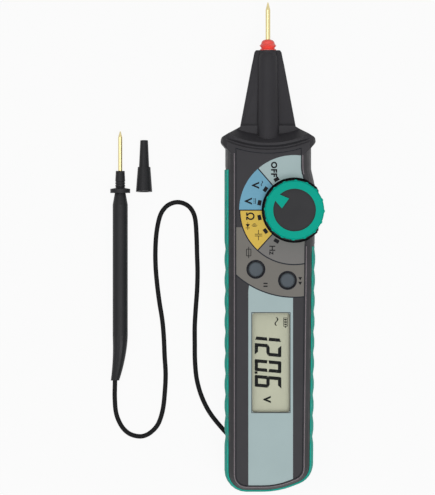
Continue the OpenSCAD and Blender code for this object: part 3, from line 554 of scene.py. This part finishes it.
def cut_up(edges, lines):
    """Points, faces and border edges of what the edges go round, cut along the lines."""
    points, index = [], {}

    def number(p):
        key = (round(p[0], DECIMALS), round(p[1], DECIMALS))
        if key not in index:
            index[key] = len(points)
            points.append(Vector(key))
        return index[key]

    pairs = [(number(a), number(b)) for a, b in edges]
    for line in lines:
        for a, b in zip(line, line[1:]):
            i, j = number(a), number(b)
            if i != j:
                pairs.append((i, j))
    found = delaunay_2d_cdt(points, pairs, [], 0, SAME_POINT, True)
    flat, flat_edges, faces, _, edge_from, _ = found
    border = {frozenset(edge) for edge, source in zip(flat_edges, edge_from)
              if any(k < len(edges) for k in source)}
    return flat, faces, border


def inside(at, edges):
    """Whether a point is inside the edges."""
    crossings = 0
    for (ax, ay), (bx, by) in edges:
        if (ay > at.y) != (by > at.y) and at.x < ax + (at.y - ay) / (by - ay) * (bx - ax):
            crossings += 1
    return crossings % 2 == 1


def panel_mesh():
    """The panel's own outline and thickness, with a material for each printed area."""
    flat, faces, border = cut_up(panel_edges, printed_lines())
    mesh = bmesh.new()
    top = [mesh.verts.new((p.x * MM, p.y * MM, panel_high.z)) for p in flat]
    low = [mesh.verts.new((p.x * MM, p.y * MM, panel_low.z)) for p in flat]
    for face in faces:
        centre = sum((flat[i] for i in face), Vector((0, 0))) / len(face)
        if not inside(centre, panel_edges):
            continue
        a, b, c = (flat[i] for i in face[:3])
        order = face[::-1] if (b - a).cross(c - a) < 0 else list(face)
        printed = mesh.faces.new([top[i] for i in order])
        printed.material_index = PANEL_LOOKS.index(panel_look(centre))
        mesh.faces.new([low[i] for i in reversed(order)])
        for i, j in zip(order, order[1:] + order[:1]):
            if frozenset((i, j)) in border:
                mesh.faces.new([top[j], top[i], low[i], low[j]])
    bmesh.ops.delete(mesh, geom=[v for v in mesh.verts if not v.link_faces], context="VERTS")
    return mesh_data("printed_panel", mesh)


piece("printed_panel", panel_mesh(), "housing", PANEL_LOOKS, ["front_panel"])


# Light bead along the rim's outer top edge, a painted highlight, and dark bead just inside it, painted
# shade of the step from panel to rim, both open where the dial stands out

RIM_OUT = 0.62
RIM_RISE = 0.54
RIM_HIGHLIGHT_R = 0.18
RIM_CLEAR = 13.9
RIM_TOP = 63.2
STEP_SHADE_OUT = 0.08
STEP_SHADE_R = 0.2
STEP_SHADE_CLEAR = 13.4


def from_dial(p):
    """A point's distance from the dial's axis."""
    return (Vector(p) - DIAL).length


# Painted highlight: a light bead along the rim's outer top edge
rim = dense(moved_out(panel_outline, RIM_OUT))
rim_runs = runs(rim, lambda p: from_dial(p) > RIM_CLEAR and p[1] < RIM_TOP)
bead("rim_highlight", rim_runs, PANEL_Z + RIM_RISE, RIM_HIGHLIGHT_R, rim_highlight_grey)
# Painted shade: a dark bead along the step between panel and rim
step_shade = dense(moved_out(panel_outline, STEP_SHADE_OUT))
step_shade_runs = runs(step_shade, lambda p: from_dial(p) > STEP_SHADE_CLEAR)
bead("rim_step_shade", step_shade_runs, PANEL_Z, STEP_SHADE_R, line_dark)


# Seam of the two shells, beyond the grip's ends on the left and on the right

GRIP_ENDS = (56.8, 27.1)
SEAM_BEAD = 0.07
case_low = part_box("front_case")[0]
seam = dense(outer_loop(flat_border("front_case", case_low.z, up=False)))
seam_runs = runs(seam, lambda p: p[1] > GRIP_ENDS[p[0] > 0])
bead("case_seam", seam_runs, case_low.z / MM, SEAM_BEAD, line_dark)


# Flat printed marks: places are in the photograph's pixels, and up on the printing is +X

PIXEL = 0.3885
PIXEL_ORIGIN = (268, 316)
PLACES = {
    "off": (273.4, 169.9),
    "ac_wave": (261.6, 184),
    "ac_volts": (254.8, 185.8),
    "dc_bars": (254.5, 201.5),
    "dc_volts": (247.7, 201.5),
    "ohms": (249.4, 216.5),
    "sound": (254.2, 224.8),
    "diode": (247.6, 226.3),
    "capacitor": (258.2, 235.2),
    "hertz": (271.6, 250),
    "fuse": (248.5, 252.5),
    "right_arrows": (299.6, 281),
    "left_bars": (265.2, 284.6),
    "display_wave": (276.1, 321.1),
    "display_battery": (285.1, 321.6),
    "display_point": (255.9, 371.9),
    "display_volts": (266.4, 398.6),
}
PRINT_HALF = 0.03 * MM
CAPITAL_SHARE = 0.72


def at_pixel(px, py):
    """A place in the photograph's frame as millimetres on the object."""
    return (px - PIXEL_ORIGIN[0]) * PIXEL, (PIXEL_ORIGIN[1] - py) * PIXEL


def place_of(name):
    """One of the named places as millimetres on the object."""
    return at_pixel(*PLACES[name])


def flat_marks(name, outlines, z, body, mat, half=PRINT_HALF):
    """Closed outlines in millimetres as thin plates on a surface."""
    mesh = bmesh.new()
    for outline in outlines:
        loop = outline[::-1] if area(outline) < 0 else outline
        low = [mesh.verts.new((x * MM, y * MM, z - half)) for x, y in loop]
        top = [mesh.verts.new((x * MM, y * MM, z + half)) for x, y in loop]
        mesh.faces.new(top)
        mesh.faces.new(low[::-1])
        for i in range(len(loop)):
            j = (i + 1) % len(loop)
            mesh.faces.new([low[i], low[j], top[j], top[i]])
    piece(name, mesh_data(name, mesh), body, [mat])


def words(name, text, place, height, z, mat, bold, spacing=1.0):
    """Lettering that reads downwards: its up is +X and it runs along -Y."""
    curve = bpy.data.curves.new(name, "FONT")
    curve.body = text
    curve.size = height * MM / CAPITAL_SHARE
    curve.align_x = "CENTER"
    curve.align_y = "CENTER"
    curve.extrude = PRINT_HALF
    curve.offset = bold * MM
    curve.space_character = spacing
    obj = link(name + "_curve", curve)
    obj.rotation_euler = (0, 0, -math.pi / 2)
    x, y = place_of(place)
    obj.location = (x * MM, y * MM, z)
    bpy.context.view_layer.update()
    data = bpy.data.meshes.new_from_object(obj.evaluated_get(bpy.context.evaluated_depsgraph_get()))
    data.transform(obj.matrix_world)
    bpy.data.objects.remove(obj)
    data.materials.clear()
    piece(name, data, "housing", [mat])


# The dial's six marks and the letters beside them

TICK_ANGLES = (120, 144, 168, 192, 216, 240)
TICK_R = 13.7
TICK_W = 1.4
TICK_H = 2.0
LETTERS = [
    # Piece, text, place, height, how bold, letter spacing
    ("mark_off", "OFF", "off", 2.2, 0.15, 1.14),
    ("mark_volts_ac", "V", "ac_volts", 2.8, 0.14, 1),
    ("mark_volts_dc", "V", "dc_volts", 2.8, 0.14, 1),
    ("mark_ohms", "Ω", "ohms", 3.0, 0.1, 1),
    ("mark_hertz", "Hz", "hertz", 2.3, 0.05, 1),
]

ticks = []
for angle in TICK_ANGLES:
    [(x, y)] = about(DIAL, angle, [(TICK_R, 0)])
    ticks.append(box_outline(x, y, TICK_W, TICK_H, angle))
flat_marks("dial_ticks", ticks, panel_high.z, "housing", mark_black)
for name, text, place, height, bold, spacing in LETTERS:
    words(name, text, place, height, panel_high.z, mark_black, bold, spacing)


# Signs round the dial and beside the buttons

WAVE_STEPS = 12


def wave(x, y, length, swing, width):
    """A sine stroke along -Y."""
    outer, inner = [], []
    for i in range(WAVE_STEPS + 1):
        t = i / WAVE_STEPS
        middle = x + swing * math.sin(2 * math.pi * t)
        down = y + length / 2 - length * t
        outer.append((middle + width / 2, down))
        inner.append((middle - width / 2, down))
    return outer + inner[::-1]


def ac_sign(x, y):
    """One wave."""
    return [wave(x, y, length=2.0, swing=0.28, width=0.3)]


def dc_sign(x, y):
    """A whole bar above three dashes."""
    apart, half, dash, step, width = 0.3, 1.1, 0.26, 0.8, 0.24
    dashes = [along_y(x - apart, y + i * step, dash, width) for i in (-1, 0, 1)]
    return [along_y(x + apart, y, half, width)] + dashes


def diode_sign(x, y):
    """A triangle that points down its line, with a bar at its tip."""
    half, point, bar_at, bar_w, line_half, line_w = 0.8, 0.6, 0.7, 0.22, 1.5, 0.2
    triangle = [(x - half, y + half), (x + half, y + half), (x, y - point)]
    return [triangle, along_x(x, y - bar_at, half, bar_w), along_y(x, y, line_half, line_w)]


def sound_sign(x, y):
    """Three bows, one outside the other."""
    above, step, width, start, end, turn = 0.9, 0.5, 0.22, -130, -50, 20
    centre = (x, y + above)
    bows = []
    for i in (1, 2, 3):
        inner = arc(centre, i * step, start, end, turn)
        bows.append(inner + arc(centre, i * step + width, end, start, turn))
    return bows


def arrows_sign(x, y):
    """Two solid arrowheads, one after the other."""
    apart, half, tail, point = 0.9, 0.75, 0.7, 0.6
    return [[(x - half, y + step + tail), (x + half, y + step + tail), (x, y + step - point)]
            for step in (-apart, apart)]


def bars_sign(x, y):
    """Two bars side by side."""
    apart, half, width = 0.55, 0.8, 0.5
    return [along_x(x, y + step, half, width) for step in (-apart, apart)]


def fuse_sign(x, y):
    """A box with a line through it."""
    half_w, half_h, line_half, width = 0.85, 1.3, 2.2, 0.26
    sides = []
    for side in (-1, 1):
        sides.append(along_y(x + side * half_w, y, half_h, width))
        sides.append(along_x(x, y + side * half_h, half_w, width))
    return sides + [along_y(x, y, line_half, width)]


def capacitor_sign(x, y):
    """Two plates, with a line out from each."""
    apart, half, plate_w, line_start, line_end, line_w = 0.35, 1.4, 0.26, 0.4, 2.0, 0.24
    plates = [along_x(x, y + side * apart, half, plate_w) for side in (1, -1)]
    lines = [stroke(x, y + side * line_start, x, y + side * line_end, line_w) for side in (1, -1)]
    return plates + lines


SIGNS = {
    "ac_wave": ac_sign,
    "dc_bars": dc_sign,
    "diode": diode_sign,
    "sound": sound_sign,
    "right_arrows": arrows_sign,
    "left_bars": bars_sign,
    "fuse": fuse_sign,
    "capacitor": capacitor_sign,
}

signs = [outline for place, sign in SIGNS.items() for outline in sign(*place_of(place))]
flat_marks("dial_signs", signs, panel_high.z, "housing", mark_black)


# Reading on the display: seven-segment digits that slant and read downwards

LCD_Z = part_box("lcd_glass")[1].z
DIGIT_H = 10.3
DIGIT_W = 4.6
SEGMENT_W = 1.3
SEGMENT_GAP = 0.14
LEAN = 0.09
SEGMENTS = {"0": "abcdef", "1": "bc", "2": "abged", "6": "afgedc"}
FEET_PIXEL = 254.5
READING = (("1", 327.3), ("2", 342.4), ("0", 358.4), ("6", 374.0))
POINT_W = 1.1
POINT_H = 0.9


def digit(figure, foot, left):
    """Outlines of one digit: foot is the X of its foot, left the Y of its left side."""
    w, h, t, gap = DIGIT_W, DIGIT_H, SEGMENT_W, SEGMENT_GAP
    m = h / 2
    cut = t / 2
    shapes = {
        "a": [(gap, h), (w - gap, h), (w - t, h - t), (t, h - t)],
        "d": [(gap, 0), (t, t), (w - t, t), (w - gap, 0)],
        "f": [(0, h - gap), (t, h - cut), (t, m + cut / 2 + gap), (0, m + gap)],
        "e": [(0, gap), (0, m - gap), (t, m - cut / 2 - gap), (t, cut)],
        "b": [(w, h - gap), (w, m + gap), (w - t, m + cut / 2 + gap), (w - t, h - cut)],
        "c": [(w, gap), (w - t, cut), (w - t, m - cut / 2 - gap), (w, m - gap)],
        "g": [(gap, m), (t, m + cut), (w - t, m + cut), (w - gap, m), (w - t, m - cut), (t, m - cut)],
    }
    return [[(foot + v, left - (u + LEAN * v)) for u, v in shapes[s]] for s in SEGMENTS[figure]]


def battery_sign(x, y):
    """An outline with its cap and three bars."""
    half_w, half_h, line_half, line_w = 0.75, 1.6, 1.7, 0.2
    cap_at, cap_w, cap_h = 1.95, 0.6, 0.4
    step, bar_w, bar_h = 0.9, 0.95, 0.55
    found = []
    for side in (-1, 1):
        found.append(along_y(x + side * half_w, y, line_half, line_w))
        found.append(along_x(x, y + side * half_h, half_w, line_w))
    found.append(box_outline(x, y - cap_at, cap_w, cap_h))
    return found + [box_outline(x, y + i * step, bar_w, bar_h) for i in (-1, 0, 1)]


reading = []
for figure, left_pixel in READING:
    reading += digit(figure, *at_pixel(FEET_PIXEL, left_pixel))
reading.append(box_outline(*place_of("display_point"), POINT_W, POINT_H))
flat_marks("display_digits", reading, LCD_Z, "housing", segment_black)
display_signs = [wave(*place_of("display_wave"), length=3.3, swing=0.5, width=0.5)]
display_signs += battery_sign(*place_of("display_battery"))
flat_marks("display_signs", display_signs, LCD_Z, "housing", segment_black)
words("display_volts", "V", "display_volts", 2.7, LCD_Z, segment_black, bold=0.2)


# Grey line round the window

LENS_EDGE = 1.2
FRAME_W = 0.3


def frame_outlines(low, high, width):
    """Four strokes just outside a rectangle."""
    half = width / 2
    sides = [stroke(x, low.y - width, x, high.y + width, width) for x in (low.x - half, high.x + half)]
    return sides + [stroke(low.x, y, high.x, y, width) for y in (low.y - half, high.y + half)]


lens_low, lens_high = (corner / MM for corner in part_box("window_lens"))
inset = Vector((LENS_EDGE, LENS_EDGE, 0))
window_line = frame_outlines(lens_low + inset, lens_high - inset, FRAME_W)
flat_marks("window_line", window_line, panel_high.z, "housing", line_grey)


# Dark ring in the dial's well, painted shade of the gap round the dial, which is open on the right

WELL_DEPTH = 0.8
WELL_OPENING = 43
SHADE_RING_GAP = 0.15
SHADE_RING_R = 0.3
SHADE_RING_STEP = 4

well_z = panel_low.z / MM - WELL_DEPTH
dial_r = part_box("dial_ring")[1].x / MM - DIAL.x
# Painted shade of the gap between the dial and its well
shade_ring = arc(DIAL, dial_r + SHADE_RING_GAP + SHADE_RING_R, WELL_OPENING, 360 - WELL_OPENING, SHADE_RING_STEP)
bead("dial_gap_shade", [shade_ring], well_z + SHADE_RING_R / 2, SHADE_RING_R, mark_black)


# Ribs on the lead's strain relief, and dark lines round the buttons

RING_SIDES = 8
RING_SHARP = 80
RELIEF_MOUTH = Vector((-9.5, -52.6, 2.7))
RELIEF_WAY = Vector((-1, 1, 0)).normalized()
RELIEF_R = 2.3
RELIEF_END_R = 1.5
RELIEF_LENGTH = 6.5
RIB_REACHES = (1.2, 2.5, 3.8, 5.1)
RIB_PROUD = 0.02
RIB_R = 0.28
RIB_SEGMENTS = 28
BUTTON_LINE_R = 3.46
BUTTON_LINE = 0.2
BUTTON_SEGMENTS = 40


def ring(mesh, centre, axis, r, thick, segments):
    """A round ring in millimetres about an axis."""
    side = axis.orthogonal().normalized()
    up = axis.cross(side)
    rows = []
    for i in range(segments):
        a = 2 * math.pi * i / segments
        out = side * math.cos(a) + up * math.sin(a)
        row = []
        for j in range(RING_SIDES):
            b = 2 * math.pi * j / RING_SIDES
            at = centre + out * (r + thick * math.cos(b)) + axis * thick * math.sin(b)
            row.append(mesh.verts.new(at * MM))
        rows.append(row)
    for i in range(segments):
        for j in range(RING_SIDES):
            k, m = (i + 1) % segments, (j + 1) % RING_SIDES
            mesh.faces.new([rows[i][j], rows[k][j], rows[k][m], rows[i][m]])


def ring_piece(name, rings, mat):
    """Rings on the housing, as one piece."""
    mesh = bmesh.new()
    for one in rings:
        ring(mesh, *one)
    bmesh.ops.recalc_face_normals(mesh, faces=mesh.faces)
    data = mesh_data(name, mesh)
    smooth(data, RING_SHARP)
    piece(name, data, "housing", [mat])


def middle_of(node):
    """The middle of a CAD node's box in millimetres."""
    low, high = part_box(node)
    return (low + high) / 2 / MM


ribs = []
for reach in RIB_REACHES:
    relief_r = RELIEF_R + (RELIEF_END_R - RELIEF_R) * reach / RELIEF_LENGTH
    ribs.append((RELIEF_MOUTH + RELIEF_WAY * reach, RELIEF_WAY, relief_r + RIB_PROUD, RIB_R, RIB_SEGMENTS))
ring_piece("lead_ribs", ribs, cord_black)

button_lines = []
for key in ("select_button", "hold_button"):
    centre = middle_of(key)
    centre.z = PANEL_Z
    button_lines.append((centre, Vector((0, 0, 1)), BUTTON_LINE_R, BUTTON_LINE, BUTTON_SEGMENTS))
ring_piece("button_lines", button_lines, line_dark)


# Back: flat black crosses on the screws, painted shade of their cross recesses, and ribs on the battery
# cover

CASE_SCREWS = [(-9.5, 57.5, 20), (9.5, 57.5, 65), (3, -59.5, 40)]
CASE_CROSS = (2.8, 0.6)
COVER_CROSS = (2.3, 0.5)
COVER_CROSS_TURN = 30
COVER_RIBS = 5
COVER_RIB_FIRST = 3
COVER_RIB_STEP = 1.4
COVER_RIB_SIZE = (9, 0.6)
COVER_RIB_HALF = 0.07 * MM


def cross_outline(x, y, size, width, angle):
    """A cross of two bars, turned by some degrees."""
    arm = ((width / 2, -width / 2), (size / 2, -width / 2), (size / 2, width / 2))
    outline = []
    for quarter in (0, 90, 180, 270):
        outline += about((x, y), quarter + angle, arm)
    return outline


# Painted shade: flat black crosses stand in for the shade in the screws' cross recesses
case_crosses = [cross_outline(x, y, *CASE_CROSS, angle) for x, y, angle in CASE_SCREWS]
flat_marks("case_screw_crosses", case_crosses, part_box("case_screws")[0].z, "housing", mark_black)
cover_screw = middle_of("cover_screw")
cover_cross = cross_outline(cover_screw.x, cover_screw.y, *COVER_CROSS, COVER_CROSS_TURN)
flat_marks("cover_screw_cross", [cover_cross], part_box("cover_screw")[0].z, "battery_door", mark_black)
cover_low, cover_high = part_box("battery_cover")
first_rib_y = cover_high.y / MM - COVER_RIB_FIRST
cover_ribs = [box_outline(middle_of("battery_cover").x, first_rib_y - COVER_RIB_STEP * i, *COVER_RIB_SIZE)
              for i in range(COVER_RIBS)]
flat_marks("cover_ribs", cover_ribs, cover_low.z - COVER_RIB_HALF, "battery_door", case_black,
           COVER_RIB_HALF)


# Floor and world: pale where the camera, gloss or glass shows them, and plain to other rays

FLOOR_HALF = 1.5
FLOOR_DROP = 0.02 * MM
FLOOR_GREY = (0.5, 0.5, 0.5, 1)
FLOOR_ROUGH = 0.9
FLOOR_SHARE = 0.93
HORIZON_LIGHT = 0.12
OVERHEAD_LIGHT = 0.58
BACKGROUND = 0.95


def seen(tree):
    """1 for rays from the camera, off gloss or through glass, and 0 for others."""
    rays = add(tree, "LightPath", {}).outputs
    sent_on = {0: rays["Is Glossy Ray"], 1: rays["Is Transmission Ray"]}
    mirrored = add(tree, "Math", sent_on, operation="MAXIMUM").outputs["Value"]
    either = add(tree, "Math", {0: rays["Is Camera Ray"], 1: mirrored}, operation="MAXIMUM")
    return either.outputs["Value"]


def mixed(tree, share, plain, shown, output):
    """Mixes two shaders by a share of the second, for the tree's output."""
    mix = add(tree, "MixShader", {"Fac": share, 1: plain, 2: shown})
    feed(tree, tree.nodes[output].inputs["Surface"], mix.outputs["Shader"])


def floor_material():
    """Plain matt grey that shows as white where it is seen."""
    made = bpy.data.materials.new("floor")
    made.use_nodes = True
    tree = made.node_tree
    matt = tree.nodes["Principled BSDF"]
    matt.inputs["Base Color"].default_value = FLOOR_GREY
    matt.inputs["Roughness"].default_value = FLOOR_ROUGH
    matt.inputs["Specular IOR Level"].default_value = 0
    glow = add(tree, "Emission", {"Color": WHITE})
    share = add(tree, "Math", {0: seen(tree), 1: FLOOR_SHARE}, operation="MULTIPLY")
    mixed(tree, share.outputs["Value"], matt.outputs["BSDF"], glow.outputs["Emission"],
          "Material Output")
    return made


def studio():
    """A world that is brighter overhead than at the horizon, and white where it is seen."""
    made = bpy.data.worlds.new("studio")
    made.use_nodes = True
    tree = made.node_tree
    direction = add(tree, "TexCoord", {}).outputs["Generated"]
    light = add(tree, "MapRange", {
        "Value": add(tree, "SeparateXYZ", {"Vector": direction}).outputs["Z"],
        "From Min": 0,
        "To Min": HORIZON_LIGHT,
        "To Max": OVERHEAD_LIGHT,
    })
    sky = tree.nodes["Background"]
    feed(tree, sky.inputs["Color"], WHITE)
    feed(tree, sky.inputs["Strength"], light.outputs["Result"])
    backdrop = add(tree, "Background", {"Color": WHITE, "Strength": BACKGROUND})
    mixed(tree, seen(tree), sky.outputs["Background"], backdrop.outputs["Background"], "World Output")
    return made


floor_data = bpy.data.meshes.new("floor")
floor_corners = [(x * FLOOR_HALF, y * FLOOR_HALF, 0) for x, y in ((-1, -1), (1, -1), (1, 1), (-1, 1))]
floor_data.from_pydata(floor_corners, [], [(0, 1, 2, 3)])
floor_data.materials.append(floor_material())
floor = link("floor", floor_data)
floor.location.z = -FLOOR_DROP
scene.world = studio()


# Lamps

LIT = Vector((0, 0.02, 0))


def lamp(name, place, size, power):
    """A soft rectangular lamp that faces the object."""
    data = bpy.data.lights.new(name, "AREA")
    data.shape = "RECTANGLE"
    data.size, data.size_y = size
    data.energy = power
    obj = link(name, data)
    obj.location = place
    obj.rotation_euler = (LIT - Vector(place)).to_track_quat("-Z", "Y").to_euler()


lamp("key", place=(0.2, -0.3, 1.0), size=(0.45, 0.45), power=4.6)
lamp("fill", place=(-0.3, 0.12, 0.85), size=(0.6, 0.6), power=1.8)
lamp("top_fill", place=(0.1, 0.75, 0.5), size=(0.6, 0.4), power=0.6)


# Smooth shading on the CAD pieces

for obj in nodes.values():
    if obj.type == "MESH" and not obj.data.has_custom_normals:
        smooth(obj.data)
